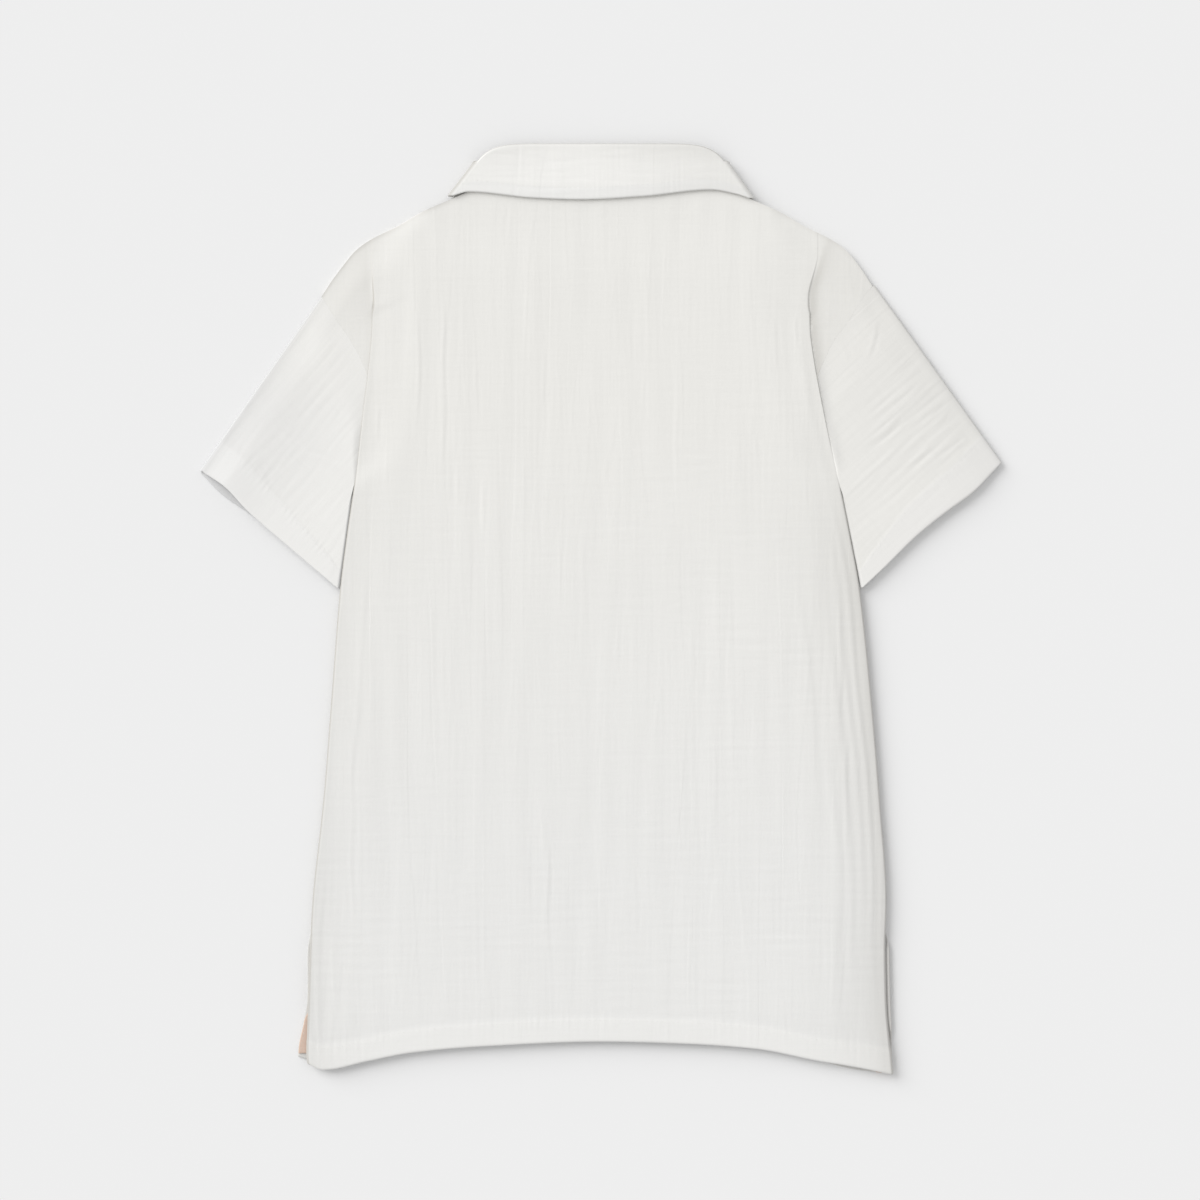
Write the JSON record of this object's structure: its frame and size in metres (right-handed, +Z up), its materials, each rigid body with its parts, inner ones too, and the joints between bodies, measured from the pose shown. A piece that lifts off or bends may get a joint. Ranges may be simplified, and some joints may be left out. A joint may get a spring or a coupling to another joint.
{
  "type": "child's polo shirt",
  "caption": "Short-sleeved polo shirt in crinkled double-gauze cotton, laid flat and face down with its collar folded over the back.",
  "frame": {"origin": "on the surface that the shirt lies on, under the middle of its outline, at mount rest_face", "axes": "+Y from the hem to the collar, +X to the wearer's right sleeve, +Z up out of the surface, with the shirt's back facing up"},
  "size_m": [0.4808, 0.5576, 0.0074],
  "materials": {
    "gauze": "off-white crinkled double-gauze cotton, matt, with a fine open weave",
    "facing_tape": "peach plain-weave cotton tape, matt",
    "button": "white four-hole resin button with a soft gloss"
  },
  "bodies": {
    "root": {"back": "gauze", "front": "gauze", "sleeve_left": "gauze", "sleeve_right": "gauze", "collar": "gauze", "placket_top": "gauze", "placket_under": "gauze", "vent_facing_left": "facing_tape", "vent_facing_right": "facing_tape", "button_1": "button", "button_2": "button", "button_3": "button"}
  },
  "joints": []
}
